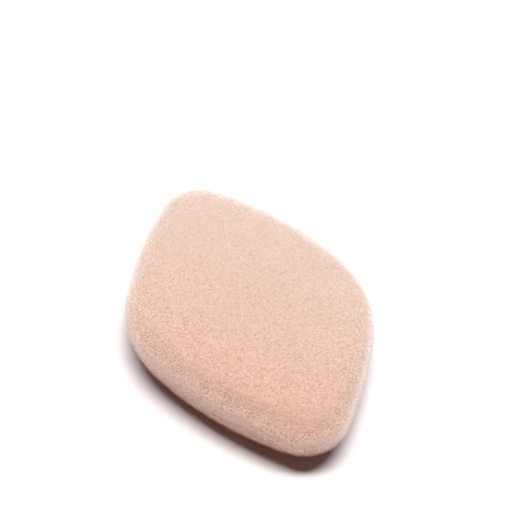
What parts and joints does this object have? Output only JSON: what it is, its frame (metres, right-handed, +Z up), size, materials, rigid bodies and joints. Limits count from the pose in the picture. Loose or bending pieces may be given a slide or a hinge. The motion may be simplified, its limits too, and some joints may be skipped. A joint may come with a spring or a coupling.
{
  "type": "makeup sponge",
  "caption": "Flocked makeup sponge: a soft foam pad with a rounded rhombus outline, crowned faces and a velvety pile, that squeezes flat and springs back.",
  "frame": {"origin": "middle of the flat that the sponge rests on, at the bottom of its box", "axes": "+X along the longer diagonal of the outline, +Y across it, +Z up through the thickness"},
  "size_m": [0.065, 0.0444, 0.014],
  "materials": {
    "pile": "matte",
    "adhesive": "satin",
    "foam": "matte"
  },
  "bodies": {
    "pad": {"lower_flock": "pile", "lower_bond_coat": "adhesive", "foam_core": "foam", "edge_flock": "pile", "edge_bond_coat": "adhesive"},
    "upper_face": {"upper_flock": "pile", "upper_bond_coat": "adhesive"}
  },
  "joints": [
    {"name": "squeeze", "type": "slide", "parent": "pad", "child": "upper_face", "axis": [0, 0, -1], "range_m": [0, 0.005], "stiffness_N_per_m": 600, "deforming": ["foam_core", "edge_flock", "edge_bond_coat"]}
  ]
}
